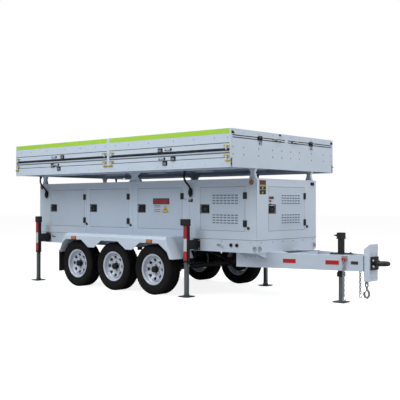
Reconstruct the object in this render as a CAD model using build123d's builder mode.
"""Tri-axle solar power trailer with slide-out panel trays, built in builder mode.

Frame: +X towards the tow eye, +Y to the left, +Z up, the ground at Z = 0.
The origin is under the middle of the overall length and width.  Millimetres.
"""
from build123d import *
from math import radians, tan
import os

os.makedirs("parts", exist_ok=True)

# ---------------------------------------------------------------- driving sizes
seam = 0.5                  # gap between sheets and members that are welded or bolted together
sheet = 3                   # folded sheet thickness

# running gear
axle_pitch = 835
tyre_radius = 360
tyre_width = 235
bead_radius = 203           # 16 inch rim
track_half = 972            # trailer centre to tyre centre
axle_tube_radius = 38
spring_y = 620
running_clearance = 1

# cabinet and chassis, measured from the middle axle
body_length = 4690
body_half_width = 720
body_front_reach = 2420
chassis_depth = 172
cabinet_height = 824
chassis_bottom = 639

# solar array box
array_length = 4628
array_half_width = 1240
array_front_reach = 2392
support_height = 127
sill_height = 119
lower_slot = 66
mid_rail_height = 50
upper_slot = 80
rivet_band = 63
end_slot = 42
top_band = 77
mid_post = 50
corner_post = 15
end_post_half = 33
post_depth = 35

# solar panels
panel_length = 2256
panel_width = 1133
panel_depth = 35
panel_wall = 11
glass_thickness = 4
handle_proud = 25
slide_gap = 2

# doors
door_bottom = 930
door_height = 595
door_depth = 30
door_gap = 4
hinge_axis_proud = 8
hinge_height = 90
hinge_rise = (100, 475)     # hinge centres above the door's lower edge
latch_width = 155
latch_height = 110
latch_rise = 296
latch_depth = 24

# drawbar and coupler
coupler_front_reach = 3730
eye_tip_reach = 3950
tail_lamp_proud = 25
beam_height = 200
beam_width = 76
beam_wall = 6
beam_rear_reach = 1980
beam_rear_y = 600           # outer face at the rear end
beam_front_y = 130          # outer face at the coupler
coupler_half_width = 110
coupler_low = 310
coupler_high = 780
coupler_depth = 80
plate = 10
eye_height = 540
eye_bore = 38
eye_section = 29            # radius of the ring's round section
bolt_pitch_z = 76
bolt_pitch_y = 130
bolt_hole = 9

# jacks
jack_y = 930
front_jack_reach = 1360
rear_jack_reach = -2030
tongue_jack_reach = 3260
jack_tube = 65
jack_wall = 5
jack_leg = 50
jack_low = 480
jack_top = 1080
jack_head = 80
jack_head_height = 80
jack_travel = 380
tongue_low = 340
tongue_top = 915
tongue_travel = 330
foot_size = 150
foot_rise = 15
foot_thickness = 6

# fenders
fender_y = 1150
fender_top = 835
fender_front_reach = 1150
fender_rear_reach = -1040
fender_front_foot = 1300
fender_rear_foot = -1200
fender_foot_height = 530
fender_bevel = 40
fender_sheet = 4
arch_top = 742
arch_top_half = 185
arch_low = 630
arch_low_half = 352

# conduits
conduit_radius = 14

# ---------------------------------------------------------------- worked out from them
body_rear_reach = body_front_reach - body_length
tail_reach = tail_lamp_proud - body_rear_reach
axle_x = (tail_reach - eye_tip_reach) / 2       # middle axle, seen from the origin
body_front = axle_x + body_front_reach
body_rear = axle_x + body_rear_reach
floor_z = chassis_bottom + chassis_depth
roof_z = floor_z + cabinet_height
array_front = axle_x + array_front_reach
array_x = array_front - array_length / 2
array_bottom = roof_z + support_height
lower_z = array_bottom + sill_height
mid_rail_z = lower_z + lower_slot
upper_z = mid_rail_z + mid_rail_height
rivet_z = upper_z + upper_slot
end_z = rivet_z + rivet_band
top_z = end_z + end_slot
array_top = top_z + top_band
bay_width = (array_length - 2 * corner_post - mid_post) / 2
bay_offset = (mid_post + bay_width) / 2
door_top = door_bottom + door_height
coupler_x = axle_x + coupler_front_reach

# doors of one side: name, rear edge, front edge (from the middle axle), louvred
side_doors = [
    ("battery_door_1", -1970, -1080, False),
    ("battery_door_2", -940, -45, False),
    ("inverter_door", 170, 1080, False),
    ("generator_door", 1430, 2220, True),
]
front_door_span = (-460, 415)
partitions = [-1010, 60, 1255]

near_wall = Plane(origin=(0, -body_half_width, 0), x_dir=(1, 0, 0), z_dir=(0, -1, 0))
front_wall = Plane(origin=(body_front, 0, 0), x_dir=(0, 1, 0), z_dir=(1, 0, 0))


# ---------------------------------------------------------------- helpers
def block(x_span, y_span, z_span, mode=Mode.ADD):
    """A box given by its low and high value on each axis of the active workplane."""
    spans = [sorted(span) for span in (x_span, y_span, z_span)]
    middle = tuple((low + high) / 2 for low, high in spans)
    with Locations(middle):
        Box(*[high - low for low, high in spans], mode=mode)


def rod(start, direction, radius, length, mode=Mode.ADD):
    """A round bar from a start point along a direction."""
    with BuildSketch(Plane(origin=start, z_dir=direction)) as section:
        Circle(radius)
    extrude(section.sketch, amount=length, mode=mode)


def prism(points, plane, amount, mode=Mode.ADD):
    """A polygon given by its corners, drawn on a plane and pushed along its normal."""
    with BuildSketch(plane) as outline:
        with BuildLine():
            Polyline(*points, close=True)
        make_face()
    extrude(outline.sketch, amount=amount, mode=mode)


def save(built, name):
    built.part.label = name
    export_step(built.part, f"parts/{name}.step")


# ---------------------------------------------------------------- chassis
rail_half_width = 30
rail_height = 120
rail_wall = 6
cross_member_x = [-2000, -1250, -420, 420, 1250, 2000]
cross_half = 25

with BuildPart() as chassis_rails:
    edge = body_half_width - plate
    # outer frame plates: two long sides with the ends fitted between them
    for side in (-1, 1):
        block((body_rear, body_front), (side * edge, side * body_half_width), (chassis_bottom, floor_z))
    for x in (body_rear, body_front - plate):
        block((x, x + plate), (-edge + seam, edge - seam), (chassis_bottom, floor_z))
    # main rails, open rectangular tubes along the trailer
    for side in (-1, 1):
        outer = rail_half_width
        inner = rail_half_width - rail_wall
        x_span = (body_rear + plate + seam, body_front - plate - seam)
        block(x_span, (side * spring_y - outer, side * spring_y + outer),
              (chassis_bottom, chassis_bottom + rail_height))
        block(x_span, (side * spring_y - inner, side * spring_y + inner),
              (chassis_bottom + rail_wall, chassis_bottom + rail_height - rail_wall), Mode.SUBTRACT)
    # cross members between the rails, and stubs from the rails to the outer plates
    for x in cross_member_x:
        inside = spring_y - rail_half_width - seam
        outside = spring_y + rail_half_width + seam
        x_mid = axle_x + x
        z_span = (chassis_bottom, chassis_bottom + rail_height)
        block((x_mid - cross_half, x_mid + cross_half), (-inside, inside), z_span)
        block((x_mid - cross_half, x_mid + cross_half - rail_wall), (-inside, inside),
              (z_span[0] + rail_wall, z_span[1] - rail_wall), Mode.SUBTRACT)
        for side in (-1, 1):
            block((x_mid - rail_wall, x_mid + rail_wall), (side * outside, side * (edge - seam)), z_span)

# ---------------------------------------------------------------- drawbar, part of the same weldment
beam_front_reach = coupler_front_reach - coupler_depth - seam
beam_slope = (beam_rear_y - beam_front_y) / (beam_front_reach - beam_rear_reach)
beam_top = chassis_bottom - seam
beam_bottom = beam_top - beam_height
beam_run = beam_width * (1 + beam_slope ** 2) ** 0.5     # width measured across the trailer


def beam_outline(inset):
    """Plan outline of the right-hand beam, drawn in by inset on both long sides."""
    across = inset * (1 + beam_slope ** 2) ** 0.5
    rear_x = axle_x + beam_rear_reach
    front_x = axle_x + beam_front_reach
    return [
        (rear_x, -beam_rear_y + across), (front_x, -beam_front_y + across),
        (front_x, -beam_front_y + beam_run - across), (rear_x, -beam_rear_y + beam_run - across),
    ]


tie_reach = (2700, 3160)
tie_half_width = 25
with BuildPart() as chassis_frame:
    prism(beam_outline(0), Plane.XY.offset(beam_bottom), beam_height)
    prism(beam_outline(beam_wall), Plane.XY.offset(beam_bottom + beam_wall),
          beam_height - 2 * beam_wall, Mode.SUBTRACT)
    mirror(about=Plane.XZ)
    # cross ties between the beams; the front one carries the tongue jack
    for reach in tie_reach:
        outer_y = beam_rear_y - beam_slope * (reach + tie_half_width - beam_rear_reach)
        inner_y = outer_y - beam_run - 4 * seam
        x_mid = axle_x + reach
        block((x_mid - tie_half_width, x_mid + tie_half_width), (-inner_y, inner_y),
              (beam_bottom + beam_wall, beam_top))
        block((x_mid - tie_half_width, x_mid + tie_half_width - beam_wall), (-inner_y, inner_y),
              (beam_bottom + 2 * beam_wall, beam_top - beam_wall), Mode.SUBTRACT)
    add(chassis_rails.part)
save(chassis_frame, "chassis_frame")

# ---------------------------------------------------------------- coupler channel
slant = 70
hole_rows = [eye_height + bolt_pitch_z * (i - 2.5) for i in range(6)]
with BuildPart() as coupler_channel:
    half = coupler_half_width
    back = coupler_x - coupler_depth
    block((coupler_x - plate, coupler_x), (-half, half), (coupler_low, coupler_high))
    for side in (-1, 1):
        block((back, coupler_x - plate), (side * (half - plate), side * half), (coupler_low, coupler_high))
    # the top is cut on a slant from the web down to the back of each flange
    prism([(back, coupler_high), (back, coupler_high - slant), (coupler_x - plate, coupler_high)],
          Plane.XZ.offset(-half), 2 * half, Mode.SUBTRACT)
    for side in (-1, 1):
        prism([(side * half, coupler_high), (side * (half - slant), coupler_high),
               (side * half, coupler_high - slant)],
              Plane.YZ.offset(coupler_x - coupler_depth), coupler_depth, Mode.SUBTRACT)
    for z in hole_rows:
        for y in (-bolt_pitch_y / 2, bolt_pitch_y / 2):
            rod((coupler_x - coupler_depth, y, z), (1, 0, 0), bolt_hole, coupler_depth, Mode.SUBTRACT)
save(coupler_channel, "coupler_channel")

# ---------------------------------------------------------------- tow eye
base_half_y = 88
base_half_z = 84
base_thickness = 24
eye_x = axle_x + eye_tip_reach - eye_bore - 2 * eye_section
land_height = 24            # straight wall inside the ring
bolt_radius = 8
nut_radius = 15
nut_length = 14
shank_root = (100, 92)
shank_tip = (60, 44)
with BuildPart() as tow_eye:
    face = coupler_x + seam
    block((face, face + base_thickness), (-base_half_y, base_half_y),
          (eye_height - base_half_z, eye_height + base_half_z))
    # the shank tapers from the base plate into the ring
    with BuildSketch(Plane.YZ.offset(face + base_thickness)):
        with Locations((0, eye_height)):
            Rectangle(*shank_root)
    with BuildSketch(Plane.YZ.offset(eye_x - eye_bore)):
        with Locations((0, eye_height)):
            Rectangle(*shank_tip)
    loft()
    with BuildSketch(Plane(origin=(eye_x, 0, eye_height), x_dir=(1, 0, 0), z_dir=(0, -1, 0))):
        with Locations((eye_bore + eye_section, 0)):
            Circle(eye_section)
        with Locations((eye_bore + eye_section / 2, 0)):
            Rectangle(eye_section, land_height)
    revolve(axis=Axis((eye_x, 0, eye_height), (0, 0, 1)))
    with Locations((eye_x, 0, eye_height)):
        Cylinder(eye_bore, 3 * land_height, mode=Mode.SUBTRACT)
    for z in (-bolt_pitch_z / 2, bolt_pitch_z / 2):
        for y in (-bolt_pitch_y / 2, bolt_pitch_y / 2):
            start = (coupler_x - plate - nut_length - seam, y, eye_height + z)
            rod(start, (1, 0, 0), bolt_radius, plate + nut_length + 2 * seam + base_thickness + nut_length)
            rod(start, (1, 0, 0), nut_radius, nut_length)
            rod((face + base_thickness, y, eye_height + z), (1, 0, 0), nut_radius, nut_length)
save(tow_eye, "tow_eye")

# ---------------------------------------------------------------- safety chains
link_rod = 5
link_pitch = 32             # inside length of a link, less a little slack
link_half_width = 11
chain_top = 560
chain_links = 16
chain_reach = 3420
chain_offset = 22           # beam face to the middle of the links


def chain_link(centre, turned):
    """One stadium-shaped link, its plane turned a quarter for every second link."""
    normal = (1, 0, 0) if turned else (0, 1, 0)
    link_plane = Plane(origin=centre, x_dir=(0, 0, 1), z_dir=normal)
    straight = link_pitch / 2 - link_half_width + link_rod
    with BuildLine(link_plane) as path:
        top = Line((-straight, link_half_width), (straight, link_half_width))
        ThreePointArc(top @ 1, (straight + link_half_width, 0), (straight, -link_half_width))
        Line((straight, -link_half_width), (-straight, -link_half_width))
        ThreePointArc((-straight, -link_half_width), (-straight - link_half_width, 0), top @ 0)
    with BuildSketch(Plane(origin=path.line @ 0, z_dir=path.line % 0)) as section:
        Circle(link_rod)
    sweep(section.sketch, path=path.line)


chain_x = axle_x + chain_reach
chain_face = beam_rear_y - beam_slope * (chain_reach - beam_rear_reach)
with BuildPart() as safety_chains:
    for side in (-1, 1):
        for i in range(chain_links):
            z = chain_top - (i + 0.5) * (link_pitch - seam)
            chain_link((chain_x, side * (chain_face + chain_offset), z), i % 2 == 1)
save(safety_chains, "safety_chains")

# ---------------------------------------------------------------- fenders
with BuildPart() as fenders:
    inner = body_half_width + seam
    front_foot = axle_x + fender_front_foot
    rear_foot = axle_x + fender_rear_foot
    front_top = axle_x + fender_front_reach
    rear_top = axle_x + fender_rear_reach
    outline = [(rear_foot, fender_foot_height), (rear_top, fender_top),
               (front_top, fender_top), (front_foot, fender_foot_height)]
    # the whole box of the fender, hollowed from below and inside
    prism(outline, Plane.XZ.offset(inner), fender_y - inner)
    chamfer(fenders.edges().filter_by(Axis.X).group_by(Axis.Z)[-1].sort_by(Axis.Y)[0], fender_bevel)
    cavity_top = fender_top - fender_sheet
    cavity = [(rear_foot + fender_sheet, fender_foot_height - 1), (rear_top + fender_sheet, cavity_top),
              (front_top - fender_sheet, cavity_top), (front_foot - fender_sheet, fender_foot_height - 1)]
    with BuildPart(mode=Mode.PRIVATE) as hollow:
        prism(cavity, Plane.XZ.offset(inner - 1), fender_y - fender_sheet - inner + 1)
        chamfer(hollow.edges().filter_by(Axis.X).group_by(Axis.Z)[-1].sort_by(Axis.Y)[0],
                fender_bevel - fender_sheet / 2)
    add(hollow.part, mode=Mode.SUBTRACT)
    # wheel arches and the cut-away below the skirt, through the outer plate only
    skirt_cut = Plane.XZ.offset(fender_y - 2 * fender_sheet)
    for row in (-1, 0, 1):
        x = axle_x + row * axle_pitch
        prism([(x - arch_low_half, arch_low), (x - arch_top_half, arch_top),
               (x + arch_top_half, arch_top), (x + arch_low_half, arch_low)],
              skirt_cut, 3 * fender_sheet, Mode.SUBTRACT)
    first = axle_x - axle_pitch - arch_low_half
    last = axle_x + axle_pitch + arch_low_half
    drop = arch_low - fender_foot_height
    prism([(first, arch_low), (last, arch_low), (last + drop / 2, fender_foot_height - 1),
           (first - drop / 2, fender_foot_height - 1)], skirt_cut, 3 * fender_sheet, Mode.SUBTRACT)
    mirror(about=Plane.XZ)
save(fenders, "fenders")

# ---------------------------------------------------------------- mudflaps
flap_low = 225
flap_thickness = 6
flap_lap = 30               # height that overlaps the fender
flap_outer_y = fender_y - 10
flap_inner_y = track_half - tyre_width / 2 - 20
with BuildPart() as mudflaps:
    flap_x = axle_x + fender_rear_foot - seam
    for side in (-1, 1):
        block((flap_x - flap_thickness, flap_x), (side * flap_outer_y, side * flap_inner_y),
              (flap_low, fender_foot_height + flap_lap))
save(mudflaps, "mudflaps")

# ---------------------------------------------------------------- wheels
tread_half = 88
shoulder_radius = 344
shoulder_half = 108
bulge_radius = 282
bead_half = 86
carcass = 14
flange_height = 19
flange_radius = bead_radius + flange_height
bead_top = flange_radius + 2
bead_top_half = 90
groove_width = 9
groove_depth = 8
groove_places = (-54, -18, 18, 54)

with BuildPart() as tyre_pattern:
    # section drawn beside the axis: x is the radius, y runs along the axle
    with BuildSketch(Plane.XZ):
        with BuildLine():
            half = tyre_width / 2
            bead = bead_radius + 2
            Line((bead, -bead_half), (bead_top, -bead_top_half))
            ThreePointArc((bead_top, -bead_top_half), (bulge_radius, -half),
                          (shoulder_radius, -shoulder_half))
            Line((shoulder_radius, -shoulder_half), (tyre_radius, -tread_half))
            Line((tyre_radius, -tread_half), (tyre_radius, tread_half))
            Line((tyre_radius, tread_half), (shoulder_radius, shoulder_half))
            ThreePointArc((shoulder_radius, shoulder_half), (bulge_radius, half), (bead_top, bead_top_half))
            Line((bead_top, bead_top_half), (bead, bead_half))
            Line((bead, bead_half), (bead, bead_half - carcass))
            ThreePointArc((bead, bead_half - carcass), (bulge_radius, half - carcass),
                          (shoulder_radius - carcass, shoulder_half - carcass))
            Line((shoulder_radius - carcass, shoulder_half - carcass),
                 (shoulder_radius - carcass, carcass - shoulder_half))
            ThreePointArc((shoulder_radius - carcass, carcass - shoulder_half),
                          (bulge_radius, carcass - half), (bead, carcass - bead_half))
            Line((bead, carcass - bead_half), (bead, -bead_half))
        make_face()
        with Locations(*[(tyre_radius, place) for place in groove_places]):
            Rectangle(2 * groove_depth, groove_width, mode=Mode.SUBTRACT)
    revolve(axis=Axis.Z)

rim_wall = 6
rim_half = 98               # half the width over the flanges
flange_lip = 5
seat_radius = bead_radius + 1.6
inner_seat_radius = bead_radius - 6
well_drop = 25
well_radius = bead_radius - well_drop
disc_face = 26              # hub face of the disc, outboard of the wheel's middle plane
disc_thickness = 8
hub_bore = 42
crown_radius = well_radius - 30
window_count = 8
window_inset = 46           # window centres, inside the well
window_radius = well_radius - window_inset
window_size = 24
window_corner = 7
nut_circle = 69.85
nut_count = 6
lug_radius = 12
lug_length = 22
drum_inset = 28             # drum, inside the well
drum_radius = well_radius - drum_inset
drum_depth = 86
drum_wall = 12
hub_radius = 48
spindle_radius = 24
spindle_stub = 30           # bore past the drum, inside the cap
cap_radius = 38
cap_length = 66

with BuildPart() as rim_pattern:
    with BuildSketch(Plane.XZ):
        with BuildLine():
            # barrel: flange, bead seat, drop centre, bead seat, flange
            lip = rim_half - flange_lip
            outer = [(flange_radius, -rim_half), (flange_radius, -lip), (seat_radius, seam - lip),
                     (seat_radius, -60), (well_radius, -44), (well_radius, 20), (seat_radius, 40),
                     (seat_radius, lip - seam), (flange_radius, lip), (flange_radius, rim_half)]
            inner = [(inner_seat_radius, rim_half), (inner_seat_radius, 44), (well_radius - rim_wall, 24),
                     (well_radius - rim_wall, -47), (inner_seat_radius, -64), (inner_seat_radius, -rim_half)]
            Polyline(*outer, *inner, close=True)
        make_face()
    revolve(axis=Axis.Z)
    # dished disc welded inside the barrel
    with BuildSketch(Plane.XZ):
        with BuildLine():
            disc_back = disc_face - disc_thickness
            face = [(well_radius - rim_wall, 22), (well_radius - 18, 52), (crown_radius, 58),
                    (106, 34), (100, disc_face), (hub_bore, disc_face)]
            back = [(hub_bore, disc_back), (102, disc_back), (112, 27), (crown_radius, 48), (crown_radius + 6, 44),
                    (well_radius - rim_wall, 8)]
            Polyline(*face, *back, close=True)
        make_face()
    revolve(axis=Axis.Z)
    with BuildSketch():
        with PolarLocations(window_radius, window_count):
            RegularPolygon(window_size, 3)
        fillet(vertices(), window_corner)
    extrude(amount=rim_half, mode=Mode.SUBTRACT)
    # brake drum and hub behind the disc, with a bore for the spindle
    drum_face = disc_back - seam
    with BuildSketch(Plane.XY.offset(drum_face - drum_depth)):
        Circle(drum_radius)
    extrude(amount=drum_depth)
    with BuildSketch(Plane.XY.offset(drum_face - drum_depth)):
        Circle(drum_radius - drum_wall)
        Circle(hub_radius, mode=Mode.SUBTRACT)
    extrude(amount=drum_depth - drum_wall, mode=Mode.SUBTRACT)
    with BuildSketch(Plane.XY.offset(drum_face)):
        Circle(cap_radius)
    extrude(amount=cap_length)
    with BuildSketch(Plane.XY.offset(drum_face - drum_depth)):
        Circle(spindle_radius + running_clearance)
    extrude(amount=drum_depth + spindle_stub, mode=Mode.SUBTRACT)
    # wheel nuts
    with BuildSketch(Plane.XY.offset(disc_face + seam)):
        with PolarLocations(nut_circle, nut_count):
            RegularPolygon(lug_radius, 6)
    extrude(amount=lug_length)

wheel_rows = {"rear": -axle_pitch, "middle": 0, "front": axle_pitch}
for row, reach in wheel_rows.items():
    for side_name, side in (("right", -1), ("left", 1)):
        place = Plane(origin=(axle_x + reach, side * track_half, tyre_radius), x_dir=(-side, 0, 0),
                      z_dir=(0, side, 0))
        with BuildPart() as tyre:
            with Locations(place.location):
                add(tyre_pattern.part)
        save(tyre, f"tyre_{row}_{side_name}")
        with BuildPart() as rim:
            with Locations(place.location):
                add(rim_pattern.part)
        save(rim, f"rim_{row}_{side_name}")

# ---------------------------------------------------------------- axles
drum_back = track_half + disc_face - disc_thickness - seam - drum_depth
brake_gap = 6
brake_plate = 8
brake_radius = drum_radius - 20
with BuildPart() as axle_beams:
    for reach in wheel_rows.values():
        x = axle_x + reach
        flange_face = drum_back - brake_gap
        rod((x, -flange_face, tyre_radius), (0, 1, 0), axle_tube_radius, 2 * flange_face)
        spindle_end = drum_back + drum_depth
        rod((x, -spindle_end, tyre_radius), (0, 1, 0), spindle_radius, 2 * spindle_end)
        for side in (-1, 1):
            start = (x, side * (flange_face - brake_plate), tyre_radius)
            rod(start, (0, side, 0), brake_radius, brake_plate)
save(axle_beams, "axle_beams")

# ---------------------------------------------------------------- leaf springs
leaf_half_width = 22
leaf_thickness = 8
leaf_count = 4
spring_half = 320
spring_rise = 70
seat_z = tyre_radius + axle_tube_radius + seam
eye_radius = 16
eye_pin_radius = 8
hanger_half = 30
hanger_plate = 5
equaliser_plate = 1.5
clamp_half = 60
clamp_thickness = 10
u_bolt_radius = 6
u_bolt_spread = 50
with BuildPart() as leaf_springs:
    inner_y = spring_y - leaf_half_width
    eye_z = seat_z + leaf_count * leaf_thickness + spring_rise
    for reach in wheel_rows.values():
        x = axle_x + reach
        # the pack: each leaf is an arc strip, shorter towards the axle
        for leaf in range(leaf_count):
            half = spring_half * (1 - 0.19 * (leaf_count - 1 - leaf))
            low = seat_z + leaf * (leaf_thickness + seam)
            rise = spring_rise * (half / spring_half) ** 2
            with BuildSketch(Plane.XZ.offset(inner_y)):
                with BuildLine():
                    ThreePointArc((x - half, low + rise), (x, low), (x + half, low + rise))
                    Line((x + half, low + rise), (x + half, low + rise + leaf_thickness))
                    ThreePointArc((x + half, low + rise + leaf_thickness), (x, low + leaf_thickness),
                                  (x - half, low + rise + leaf_thickness))
                    Line((x - half, low + rise + leaf_thickness), (x - half, low + rise))
                make_face()
            extrude(amount=2 * leaf_half_width)
        # rolled eyes on the main leaf
        for end in (-1, 1):
            eye = (x + end * (spring_half + eye_radius - 2), -inner_y, eye_z)
            rod(eye, (0, -1, 0), eye_radius, 2 * leaf_half_width)
            rod(eye, (0, -1, 0), eye_pin_radius + seam, 2 * leaf_half_width, Mode.SUBTRACT)
        # clamp plate and U-bolts round the axle tube
        top = seat_z + leaf_count * (leaf_thickness + seam)
        under = tyre_radius - axle_tube_radius - seam
        clamp_x = (x - clamp_half, x + clamp_half)
        clamp_y = (-inner_y + 14, -inner_y - 2 * leaf_half_width - 14)
        block(clamp_x, clamp_y, (top, top + clamp_thickness))
        block(clamp_x, clamp_y, (under - clamp_thickness, under))
        for bolt_x in (x - u_bolt_spread, x + u_bolt_spread):
            for bolt_y in (-inner_y + 7, -inner_y - 2 * leaf_half_width - 7):
                rod((bolt_x, bolt_y, under - 13), (0, 0, 1), u_bolt_radius, top + 24 - (under - 13))
    # hangers at the ends and equalisers between the axles
    link_reach = [-1.5, -0.5, 0.5, 1.5]
    for place in link_reach:
        x = axle_x + place * axle_pitch
        inner = place in (-0.5, 0.5)
        shift = 0 if inner else (axle_pitch / 2 - spring_half - eye_radius + 2) * (-1 if place > 0 else 1)
        for plate_y in (-inner_y + 4, -inner_y - 2 * leaf_half_width - 4):
            sign = 1 if plate_y > -spring_y else -1
            hanger_low = eye_z + (20 if inner else -25)
            block((x + shift - hanger_half, x + shift + hanger_half),
                  (plate_y, plate_y + sign * hanger_plate), (hanger_low, chassis_bottom - seam))
        if inner:
            reach_out = axle_pitch / 2 - spring_half - eye_radius + 2
            for plate_y in (-inner_y + 2, -inner_y - 2 * leaf_half_width - 2):
                sign = 1 if plate_y > -spring_y else -1
                equaliser = [(x - reach_out - 16, eye_z), (x - reach_out, eye_z - 18),
                             (x + reach_out, eye_z - 18), (x + reach_out + 16, eye_z),
                             (x + 18, eye_z + 60), (x - 18, eye_z + 60)]
                prism(equaliser, Plane.XZ.offset(-plate_y), -sign * equaliser_plate)
            for end in (-1, 1):
                rod((x + end * reach_out, -inner_y + 2, eye_z), (0, -1, 0), eye_pin_radius,
                    2 * leaf_half_width + 4)
            rod((x, -inner_y + 8, eye_z + 45), (0, -1, 0), eye_pin_radius, 2 * leaf_half_width + 16)
        else:
            rod((x + shift, -inner_y + 8, eye_z), (0, -1, 0), eye_pin_radius, 2 * leaf_half_width + 16)
    mirror(about=Plane.XZ)
save(leaf_springs, "leaf_springs")

# ---------------------------------------------------------------- cabinet shell
jamb = door_depth + sheet           # depth of the folded return round each doorway


def wall(spans, length_span, extra):
    """Sheets round the doorways of one wall, drawn on the wall's own workplane."""
    low, high = floor_z, roof_z - sheet - seam
    bottom = door_bottom - door_gap
    top = door_top + door_gap
    left, right = length_span
    for z_low, z_high, fold in ((low, bottom, bottom - sheet), (top, high, top)):
        block((left, right), (z_low, z_high), (-sheet, 0))
        block((left + extra, right - extra), (fold, fold + sheet), (-jamb, 0))
    edges = [left] + [value for span in spans for value in span] + [right]
    for i in range(0, len(edges), 2):
        post_left = edges[i] + (door_gap if i else 0)
        post_right = edges[i + 1] - (door_gap if i + 2 < len(edges) else 0)
        block((post_left, post_right), (bottom + seam, top - seam), (-sheet, 0))
        for edge_u in (post_left, post_right - sheet):
            inset = extra if edge_u in (left, right - sheet) else 0
            shift = inset if edge_u == left else -inset
            block((edge_u + shift, edge_u + shift + sheet), (bottom + seam, top - seam), (-jamb, 0))


door_spans = [(axle_x + rear, axle_x + front) for _, rear, front, _ in side_doors]
corner_fold = jamb + 10
with BuildPart() as cabinet_shell:
    with BuildPart(near_wall, mode=Mode.PRIVATE) as near_side:
        wall(door_spans, (body_rear, body_front), corner_fold)
    with BuildPart(front_wall, mode=Mode.PRIVATE) as front_side:
        inner = body_half_width - sheet - seam
        wall([front_door_span], (-inner, inner), sheet)
    add(near_side.part)
    mirror(near_side.part, about=Plane.XZ)
    add(front_side.part)
    # plain rear wall, roof, floor and the partitions between compartments
    block((body_rear, body_rear + sheet), (-inner, inner), (floor_z, roof_z - sheet - seam))
    block((body_rear, body_front), (-body_half_width, body_half_width), (roof_z - sheet, roof_z))
    lining = body_half_width - jamb - seam
    block((body_rear + sheet + seam, body_front - jamb - seam), (-lining, lining), (floor_z, floor_z + sheet))
    for reach in partitions:
        block((axle_x + reach, axle_x + reach + sheet), (-lining, lining),
              (floor_z + sheet + seam, roof_z - sheet - seam))
save(cabinet_shell, "cabinet_shell")

# ---------------------------------------------------------------- doors
slot_columns = 7
slot_rows = 4
slot_pitch_u = 66
slot_pitch_v = 36
slot_size = (50, 16)
slot_group_rise = (160, 429)        # centres of the two louvre groups above the door's lower edge
slot_group_inset = 344              # hinge edge to the middle of the groups
pocket_wall = 2
knuckle_radius = 6.5
pin_radius = 3
pin_clearance = 0.3
leaf_reach = 30
leaf_plate = 4
knuckle_half = 15                   # half height of the fixed middle knuckle
axis_gap = knuckle_radius + 1
paddle_size = (120, 62)
paddle_thickness = 7
paddle_rod = 4


def hinge_leaf(axis_u, centre_v, fixed):
    """Half of a butt hinge: the fixed half carries the pin, the other swings with the door."""
    half = hinge_height / 2
    side = 1 if fixed else -1
    block((axis_u + side * axis_gap, axis_u + side * (axis_gap + leaf_reach - 6)),
          (centre_v - half, centre_v + half), (seam, leaf_plate))
    if fixed:
        spans = [(centre_v - knuckle_half, centre_v + knuckle_half)]
    else:
        gap = knuckle_half + 1
        spans = [(centre_v - half, centre_v - gap), (centre_v + gap, centre_v + half)]
    for low, high in spans:
        block((axis_u, axis_u + side * (axis_gap + 1)), (low, high), (1.7, leaf_plate))
        middle = (axis_u, (low + high) / 2, hinge_axis_proud)
        with Locations(Location(middle, (90, 0, 0))):
            Cylinder(knuckle_radius, high - low)
        if not fixed:
            with Locations(Location(middle, (90, 0, 0))):
                Cylinder(pin_radius + pin_clearance, high - low, mode=Mode.SUBTRACT)
    if fixed:
        with Locations(Location((axis_u, centre_v, hinge_axis_proud), (90, 0, 0))):
            Cylinder(pin_radius, hinge_height)


def door_panel(left, right, louvred):
    """Folded door pan with its latch pocket, louvre slots and hinge leaves."""
    low, high = door_bottom, door_top
    block((left, right), (low, high), (-door_depth, 0))
    block((left + sheet, right - sheet), (low + sheet, high - sheet), (-door_depth, -sheet), Mode.SUBTRACT)
    pocket_left = left + sheet + pocket_wall
    pocket_right = pocket_left + latch_width
    pocket_low = low + latch_rise - latch_height / 2
    pocket_high = pocket_low + latch_height
    block((pocket_left, pocket_right), (pocket_low, pocket_high), (-latch_depth, 0))
    block((pocket_left + pocket_wall, pocket_right - pocket_wall),
          (pocket_low + pocket_wall, pocket_high - pocket_wall), (pocket_wall - latch_depth, 0),
          Mode.SUBTRACT)
    if louvred:
        centre_u = right - slot_group_inset
        for rise in slot_group_rise:
            with Locations((centre_u, low + rise, -sheet / 2)):
                with GridLocations(slot_pitch_u, slot_pitch_v, slot_columns, slot_rows):
                    Box(*slot_size, 2 * sheet, mode=Mode.SUBTRACT)
    for rise in hinge_rise:
        hinge_leaf(right + door_gap / 2, low + rise, False)


def paddle(left):
    """Pull paddle with its cross rod, inside the latch pocket."""
    middle_u = left + sheet + pocket_wall + latch_width / 2
    middle_v = door_bottom + latch_rise
    half_u = paddle_size[0] / 2
    top_v = middle_v + 12
    block((middle_u - half_u, middle_u + half_u), (top_v - paddle_size[1], top_v),
          (-paddle_thickness - 4, -4))
    with Locations(Location((middle_u, top_v - paddle_rod, -8), (0, 90, 0))):
        Cylinder(paddle_rod, latch_width - 8)


doorways = [(name, near_wall, axle_x + rear, axle_x + front, louvred)
            for name, rear, front, louvred in side_doors]
doorways.append(("front_door", front_wall, *front_door_span, True))
for name, plane, left, right, louvred in doorways:
    with BuildPart(plane) as door:
        door_panel(left, right, louvred)
    with BuildPart(plane) as latch:
        paddle(left)
    if plane is near_wall:
        save(door, f"{name}_right")
        save(latch, f"{name}_latch")
        with BuildPart() as far_door:
            mirror(door.part, about=Plane.XZ)
            mirror(latch.part, about=Plane.XZ)
        save(far_door, f"{name}_left")
    else:
        save(door, name)
        save(latch, f"{name}_latch")

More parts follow.
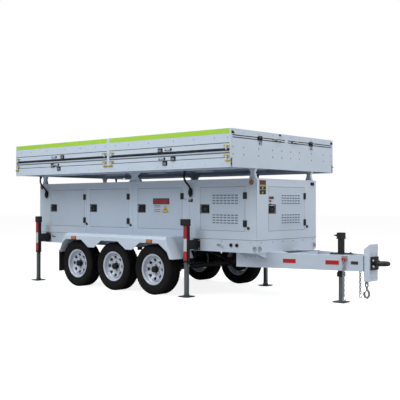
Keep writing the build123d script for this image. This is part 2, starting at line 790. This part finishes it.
stop_offset = 60
stop_rise = 40
stop_radius = 20
stop_proud = 12
with BuildPart() as door_hinges:
    with BuildPart(near_wall, mode=Mode.PRIVATE) as near_leaves:
        for left, right in door_spans:
            for rise in hinge_rise:
                hinge_leaf(right + door_gap / 2, door_bottom + rise, True)
            with Locations((right + stop_offset, door_bottom + stop_rise, seam + stop_proud / 2)):
                Cylinder(stop_radius, stop_proud)
    with BuildPart(front_wall, mode=Mode.PRIVATE) as front_leaves:
        right = front_door_span[1]
        for rise in hinge_rise:
            hinge_leaf(right + door_gap / 2, door_bottom + rise, True)
        with Locations((right + stop_offset, door_bottom + stop_rise, seam + stop_proud / 2)):
            Cylinder(stop_radius, stop_proud)
    add(near_leaves.part)
    mirror(near_leaves.part, about=Plane.XZ)
    add(front_leaves.part)
save(door_hinges, "door_hinges")

# ---------------------------------------------------------------- battery bank and inverter
module_size = (380, 560, 270)
shelf_z = floor_z + 340
shelf_thickness = 3
shelf_half = 610
shelf_leg = 30
rack_gap = 40
module_y = 310
foot_gap = 12
inverter_size = (560, 300, 620)
inverter_y = 330
with BuildPart() as battery_bank:
    battery_bays = [(body_rear + 2 * rack_gap, axle_x + partitions[0] - rack_gap),
                    (axle_x + partitions[0] + rack_gap, axle_x + partitions[1] - rack_gap)]
    for low_x, high_x in battery_bays:
        for x in (low_x + module_size[0] / 2 + shelf_leg, high_x - module_size[0] / 2 - shelf_leg):
            for y in (-module_y, module_y):
                for base in (floor_z + sheet + foot_gap, shelf_z + shelf_thickness + seam):
                    with Locations((x, y, base + module_size[2] / 2)):
                        Box(*module_size)
        block((low_x, high_x), (-shelf_half, shelf_half), (shelf_z, shelf_z + shelf_thickness))
        for x in (low_x, high_x - shelf_leg):
            for side in (-1, 1):
                block((x, x + shelf_leg), (side * shelf_half, side * (shelf_half - shelf_leg / 2)),
                      (floor_z + sheet + seam, shelf_z - seam))
    # inverter cabinets in the next compartment, folded shells open underneath
    x_mid = axle_x + (partitions[1] + partitions[2]) / 2
    inverter_z = floor_z + sheet + foot_gap + inverter_size[2] / 2
    for y in (-inverter_y, inverter_y):
        with Locations((x_mid, y, inverter_z)):
            Box(*inverter_size)
        with Locations((x_mid, y, inverter_z - 2 * sheet)):
            Box(*[length - 2 * sheet for length in inverter_size[:2]], inverter_size[2], mode=Mode.SUBTRACT)
save(battery_bank, "battery_and_inverter_bank")

# ---------------------------------------------------------------- generator set
skid_length = 980
skid_inner = 200
skid_section = 60
engine_half = 190
engine_height = 400
rocker_half = 110
rocker_height = 90
alternator_radius = 170
alternator_length = 400
radiator_thickness = 50
radiator_half = 300
radiator_height = 500
mount_pad = 50
with BuildPart() as generator_set:
    skid_x = axle_x + partitions[2] + 60
    skid_low = floor_z + sheet + foot_gap
    skid_top = skid_low + skid_section
    engine_x = (skid_x + 420, skid_x + 860)
    engine_low = skid_top + 10
    engine_top = engine_low + engine_height
    for side in (-1, 1):
        block((skid_x, skid_x + skid_length), (side * skid_inner, side * (skid_inner + skid_section)),
              (skid_low, skid_top))
    block(engine_x, (-engine_half, engine_half), (engine_low, engine_top))
    block((engine_x[0] + 40, engine_x[1] - 40), (-rocker_half, rocker_half),
          (engine_top, engine_top + rocker_height))
    with Locations(Location((skid_x + 10 + alternator_length / 2, 0, skid_low + 260), (0, 90, 0))):
        Cylinder(alternator_radius, alternator_length)
    radiator_x = engine_x[1] + 45
    block((radiator_x, radiator_x + radiator_thickness), (-radiator_half, radiator_half),
          (engine_low, engine_low + radiator_height))
    # rubber mounts with the feet that carry the engine on them
    foot_low = skid_top + 40
    for x in (engine_x[0] + 20, engine_x[1] - 60):
        for side in (-1, 1):
            pad_y = (side * (skid_inner + 5), side * (skid_inner + 5 + mount_pad))
            block((x, x + mount_pad), pad_y, (skid_top, foot_low))
            block((x, x + mount_pad), (side * (engine_half - 5), pad_y[1]), (foot_low, foot_low + foot_gap))
save(generator_set, "generator_set")

# ---------------------------------------------------------------- array frame and its supports
long_beam_y = body_half_width - 40
beam_half = 25
long_beam_height = 48
cross_beam_height = 60
cross_beam_x = [-2250, -1130, 0, 1130, 2250]
ledge_width = 25
ledge_height = 6
rail_recess = 22
web = 6
bar_half = 25
support_reach = [-2170, 80, 2330]
support_half = [55, 130, 55]
waist_half = [28, 60, 28]
support_depth = 40
skin_y = array_half_width
inner_skin_y = array_half_width - sheet
bays = [array_x - bay_offset, array_x + bay_offset]
bay_half = bay_width / 2

with BuildPart() as array_half:
    # right-hand half of the box; the left one is its mirror image
    rear_end, front_end = array_x - array_length / 2, array_front
    block((rear_end, front_end), (-skin_y, -inner_skin_y), (array_bottom, lower_z))
    block((rear_end, front_end), (-inner_skin_y, -skin_y + 60), (array_bottom, array_bottom + sheet))
    posts = [(rear_end, rear_end + corner_post), (array_x - mid_post / 2, array_x + mid_post / 2),
             (front_end - corner_post, front_end)]
    for span in posts:
        block(span, (-skin_y, -skin_y + post_depth), (lower_z + seam, array_top))
    for bay_x in bays:
        span = (bay_x - bay_half + seam, bay_x + bay_half - seam)
        block(span, (-skin_y + rail_recess, -skin_y + post_depth), (mid_rail_z, upper_z))
        block(span, (-skin_y, -inner_skin_y), (rivet_z, array_top))
        block(span, (-inner_skin_y, -skin_y + 75), (array_top - sheet, array_top))
        # ledges that the trays run on
        for level in (lower_z, upper_z):
            for low in (bay_x - bay_half + seam, bay_x + bay_half - ledge_width - seam):
                block((low, low + ledge_width), (-skin_y + post_depth + 2, -web),
                      (level + slide_gap, level + slide_gap + ledge_height))
    block((rear_end + 60, front_end - 60), (-long_beam_y - beam_half, -long_beam_y + beam_half),
          (array_bottom + sheet + seam, array_bottom + sheet + long_beam_height))
    # end plates, the post that splits each end slot, and the upper band
    for low, high in ((rear_end, rear_end + sheet), (front_end - sheet, front_end)):
        edge = -skin_y + post_depth + seam
        block((low, high), (edge, 0), (array_bottom + sheet + seam, end_z))
        block((low, high), (edge, 0), (top_z, array_top))
        block((low, high), (-end_post_half, 0), (end_z, top_z))
    for reach, half, waist in zip(support_reach, support_half, waist_half):
        x, y = axle_x + reach, -long_beam_y
        low, middle, high = roof_z + seam, roof_z + 0.62 * support_height, array_bottom + sheet
        prism([(x - half, low), (x + half, low), (x + waist, middle), (x + half, high), (x - half, high),
               (x - waist, middle)], Plane.XZ.offset(-y - support_depth / 2), support_depth)
    # open bars that the end trays and the top panels rest on
    for low in (end_post_half + 3, skin_y - post_depth - ledge_width - 3):
        block((rear_end + sheet + seam, front_end - sheet - seam), (-low, -low - ledge_width),
              (end_z - 8, end_z - 8 + ledge_height))

with BuildPart() as array_frame:
    add(array_half.part)
    mirror(array_half.part, about=Plane.XZ)
    for x in cross_beam_x:
        low = array_bottom + sheet + long_beam_height + seam
        block((array_x + x - beam_half, array_x + x + beam_half), (-skin_y + 50, skin_y - 50),
              (low, low + cross_beam_height - sheet))
    # middle web, top bar along the middle and top bar across the middle
    web_bottom = array_bottom + long_beam_height + cross_beam_height + 2 * sheet
    block((rear_end + sheet + seam, front_end - sheet - seam), (-web / 2, web / 2), (web_bottom, end_z - 1))
    top_bar = (top_z + 2, array_top - panel_depth - 5)
    block((rear_end + sheet + seam, front_end - sheet - seam), (-bar_half, bar_half), top_bar)
    for side in (-1, 1):
        across = (side * (bar_half + seam), side * (skin_y - post_depth - seam))
        block((array_x - bar_half, array_x + bar_half), across, top_bar)
save(array_frame, "array_frame")


# ---------------------------------------------------------------- solar panels
def solar_panel(centre, length, width):
    """Framed panel, glass up: a square aluminium frame with the laminate across its top."""
    x, y, low = centre
    block((x - length / 2, x + length / 2), (y - width / 2, y + width / 2), (low, low + panel_depth))
    block((x - length / 2 + panel_wall, x + length / 2 - panel_wall),
          (y - width / 2 + panel_wall, y + width / 2 - panel_wall),
          (low, low + panel_depth - glass_thickness), Mode.SUBTRACT)


top_panel_x = bar_half + 4 + panel_length / 2
top_panel_y = 5 + panel_width / 2
with BuildPart() as top_solar_panels:
    for x in (-top_panel_x, top_panel_x):
        for y in (-top_panel_y, top_panel_y):
            solar_panel((array_x + x, y, array_top - panel_depth - 4), panel_length, panel_width)
save(top_solar_panels, "top_solar_panels")


# ---------------------------------------------------------------- slide-out trays
carriage_wall = 5
carriage_height = 30
panel_setback = 22          # tray face to the edge of its panel
handle_length = 110
handle_bar = 8


def handle(centre, along):
    """Staple handle proud of a tray's face; along is the axis of its grip."""
    x, y, z = centre
    half = handle_length / 2
    if along == "x":
        block((x - half, x + half), (y - handle_proud, y - handle_proud + handle_bar), (z - 6, z + 6))
        for end in (-half, half - handle_bar):
            block((x + end, x + end + handle_bar), (y - handle_proud, y), (z - 6, z + 6))
    else:
        block((x + handle_proud - handle_bar, x + handle_proud), (y - half, y + half), (z - 6, z + 6))
        for end in (-half, half - handle_bar):
            block((x, x + handle_proud), (y + end, y + end + handle_bar), (z - 6, z + 6))


tray_levels = {"lower": (lower_z, lower_slot), "upper": (upper_z, upper_slot)}
handle_shift = {
    ("rear", "lower"): -60, ("rear", "upper"): -120,
    ("front", "lower"): -60, ("front", "upper"): 60,
}
for bay_name, bay_x in zip(("rear", "front"), bays):
    for level, (low, slot) in tray_levels.items():
        with BuildPart() as tray:
            half = bay_half - slide_gap
            panel_low = low + slide_gap + ledge_height + sheet
            back_y = -skin_y + panel_setback + sheet + panel_width
            solar_panel((bay_x, -skin_y + panel_setback + panel_width / 2, panel_low),
                        panel_length, panel_width)
            block((bay_x - half, bay_x + half), (-skin_y, -inner_skin_y),
                  (low + slide_gap, low + slot - slide_gap))
            for side in (-1, 1):
                rail = bay_x + side * (panel_length / 2 + seam)
                block((rail, rail + side * carriage_wall), (-inner_skin_y, back_y),
                      (panel_low, panel_low + carriage_height))
            block((bay_x - panel_length / 2 - seam, bay_x + panel_length / 2 + seam), (back_y - 2, back_y),
                  (panel_low, panel_low + carriage_height))
            handle((bay_x + handle_shift[bay_name, level], -skin_y, low + slot / 2), "x")
        save(tray, f"tray_{bay_name}_{level}_right")
        with BuildPart() as far_tray:
            mirror(tray.part, about=Plane.XZ)
        save(far_tray, f"tray_{bay_name}_{level}_left")

end_handle_y = 190
end_half = (skin_y - post_depth - end_post_half) / 2
end_mid_y = end_post_half + end_half
end_low = end_z + slide_gap + 1
for side_name, side in (("right", -1), ("left", 1)):
    with BuildPart() as tray:
        y = side * end_mid_y
        front_end = array_front
        solar_panel((front_end - panel_setback - panel_length / 2, y, end_low), panel_length, panel_width)
        block((front_end - sheet, front_end), (y - end_half + slide_gap, y + end_half - slide_gap),
              (end_z + slide_gap, top_z - slide_gap))
        back_x = front_end - panel_setback - sheet - panel_length
        for edge in (-1, 1):
            rail = y + edge * (panel_width / 2 + seam)
            block((front_end - sheet, back_x), (rail, rail + edge * carriage_wall),
                  (end_low, end_low + carriage_height))
        block((back_x, back_x + 2), (y - panel_width / 2 - seam, y + panel_width / 2 + seam),
              (end_low, end_low + carriage_height))
        handle((front_end, side * end_handle_y, (end_z + top_z) / 2), "y")
    save(tray, f"end_tray_front_{side_name}")
    with BuildPart() as rear_tray:
        mirror(tray.part, about=Plane.YZ.offset(array_x))
    save(rear_tray, f"end_tray_rear_{side_name}")

# ---------------------------------------------------------------- jacks
bracket_height = 130
bracket_half = 38
bracket_plate = 8
bracket_low = chassis_bottom + 21
crank_radius = 9
crank_stub = 32
tongue_head_height = 75
collar_height = 60
leg_overlap = 10            # gap left between the raised leg and the head
jack_reaches = {"rear": rear_jack_reach, "front": front_jack_reach}


def square_tube(x, y, low, high, size, wall):
    block((x - size / 2, x + size / 2), (y - size / 2, y + size / 2), (low, high))
    block((x - size / 2 + wall, x + size / 2 - wall), (y - size / 2 + wall, y + size / 2 - wall),
          (low, high), Mode.SUBTRACT)


with BuildPart() as jack_tubes:
    for reach in jack_reaches.values():
        x, y = axle_x + reach, -jack_y
        square_tube(x, y, jack_low, jack_top - jack_head_height, jack_tube, jack_wall)
        block((x - jack_head / 2, x + jack_head / 2), (y - jack_head / 2, y + jack_head / 2),
              (jack_top - jack_head_height, jack_top))
        rod((x - jack_head / 2, y, jack_top - jack_head_height / 2), (-1, 0, 0), crank_radius, crank_stub)
        # arm and wall plate that carry the jack on the chassis side
        plate_face = -body_half_width - bracket_plate - seam
        block((x - bracket_half, x + bracket_half), (y + jack_tube / 2, plate_face),
              (bracket_low, bracket_low + bracket_height))
        block((x - bracket_half - 30, x + bracket_half + 30), (plate_face, -body_half_width - seam),
              (chassis_bottom + bracket_plate, floor_z - bracket_plate))
    mirror(about=Plane.XZ)
    x = axle_x + tongue_jack_reach
    square_tube(x, 0, tongue_low, tongue_top - tongue_head_height, jack_tube, jack_wall)
    head_half = jack_head / 2 + 2
    block((x - head_half, x + head_half), (-head_half, head_half),
          (tongue_top - tongue_head_height, tongue_top))
    # collar at the lower end, and the flange that bolts the jack to the top of the drawbar
    bore_half = jack_tube / 2 - jack_wall
    for half_x, half_y, low, high in (
        (jack_head / 2, jack_head / 2, tongue_low, tongue_low + collar_height),
        (100, 130, chassis_bottom, chassis_bottom + bracket_plate),
    ):
        block((x - half_x, x + half_x), (-half_y, half_y), (low, high))
        block((x - bore_half, x + bore_half), (-bore_half, bore_half), (low, high), Mode.SUBTRACT)
save(jack_tubes, "jack_tubes")


def jack_leg_and_foot(x, y, top):
    """Square inner leg with a dished foot plate pinned under it."""
    square_tube(x, y, foot_thickness + seam, top, jack_leg, jack_wall)
    with BuildSketch(Plane(origin=(x, y, 0))) as base:
        Rectangle(foot_size, foot_size)
    extrude(base.sketch, amount=foot_rise, taper=-45)
    with BuildSketch(Plane(origin=(x, y, foot_thickness))) as dish:
        Rectangle(foot_size - foot_thickness, foot_size - foot_thickness)
    extrude(dish.sketch, amount=foot_rise, taper=-45, mode=Mode.SUBTRACT)
    square_tube(x, y, foot_thickness + seam, 2 * foot_rise, jack_leg, jack_wall)


leg_top = jack_top - jack_head_height - jack_travel - leg_overlap
for row, reach in jack_reaches.items():
    for side_name, side in (("right", -1), ("left", 1)):
        with BuildPart() as leg:
            jack_leg_and_foot(axle_x + reach, side * jack_y, leg_top)
        save(leg, f"jack_leg_{row}_{side_name}")
with BuildPart() as leg:
    tongue_leg_top = tongue_top - tongue_head_height - tongue_travel - leg_overlap
    jack_leg_and_foot(axle_x + tongue_jack_reach, 0, tongue_leg_top)
save(leg, "tongue_jack_leg")

# ---------------------------------------------------------------- conduits
hood_size = (60, 46, 78)
gland_radius = 17
collar_radius = 20
conduit_reaches = [-2060, 1262]
conduit_drop = [(0, -862, array_bottom - 4), (-6, -872, 1712), (-12, -862, 1650), (-8, -822, 1592),
                (0, -772, 1553), (0, -747, 1506)]
with BuildPart() as conduits:
    for reach in conduit_reaches:
        x = axle_x + reach
        route = [(x + dx, y, z) for dx, y, z in conduit_drop]
        legs = [(Vector(*b) - Vector(*a)) for a, b in zip(route, route[1:])]
        radii = []
        for first, second in zip(legs, legs[1:]):
            turn = first.get_angle(second)
            radii.append(0.45 * min(first.length, second.length) / tan(radians(turn / 2)))
        print("conduit radii", [round(radius) for radius in radii])
        with BuildLine() as path:
            FilletPolyline(*route, radius=radii)
        with BuildSketch(Plane(origin=path.line @ 0, z_dir=path.line % 0)) as section:
            Circle(conduit_radius)
        sweep(section.sketch, path=path.line)
        # hood and gland on the cabinet wall
        low = route[-1][2] - 6 - hood_size[2]
        back = -body_half_width - seam
        block((x - hood_size[0] / 2, x + hood_size[0] / 2), (back, back - hood_size[1]),
              (low, low + hood_size[2]))
        rod((x, back - 26, low - 30), (0, 0, 1), gland_radius, 30)
        rod((x, route[0][1], array_bottom - sheet), (0, 0, -1), collar_radius, 24)
save(conduits, "conduits")

# ---------------------------------------------------------------- lamps and reflectors
round_lamps = [(-2220, 1581), (2330, 1585)]
round_lamp_radius = 35
round_lamp_depth = 18
skirt_lamps = [10 - axle_pitch, 10 + axle_pitch]
skirt_lamp_half = 45
skirt_lamp_depth = 22
reflector_depth = 3
reflector_height = 48
reflectors = [(2480, 120), (3050, 130)]         # distance from the middle axle, length
with BuildPart() as marker_lamps:
    for reach, z in round_lamps:
        rod((axle_x + reach, -body_half_width - seam, z), (0, -1, 0), round_lamp_radius, round_lamp_depth)
    for reach in skirt_lamps:
        x = axle_x + reach
        block((x - skirt_lamp_half, x + skirt_lamp_half), (-fender_y - seam, -fender_y - skirt_lamp_depth),
              (arch_top + 8, arch_top + 50))
    block((body_rear - seam, body_rear - tail_lamp_proud), (-body_half_width + 60, -body_half_width + 230),
          (chassis_bottom + 46, chassis_bottom + 126))
    for reach, length in reflectors:
        along = Vector(1, beam_slope, 0).normalized()
        out = Vector(beam_slope, -1, 0).normalized()
        start = Vector(axle_x + reach, -beam_rear_y + beam_slope * (reach - beam_rear_reach), 0)
        corner = start + out * seam
        corners = [corner, corner + along * length, corner + along * length + out * reflector_depth,
                   corner + out * reflector_depth]
        prism([(point.X, point.Y) for point in corners], Plane.XY.offset(beam_bottom + 105), reflector_height)
    mirror(about=Plane.XZ)
save(marker_lamps, "marker_lamps")
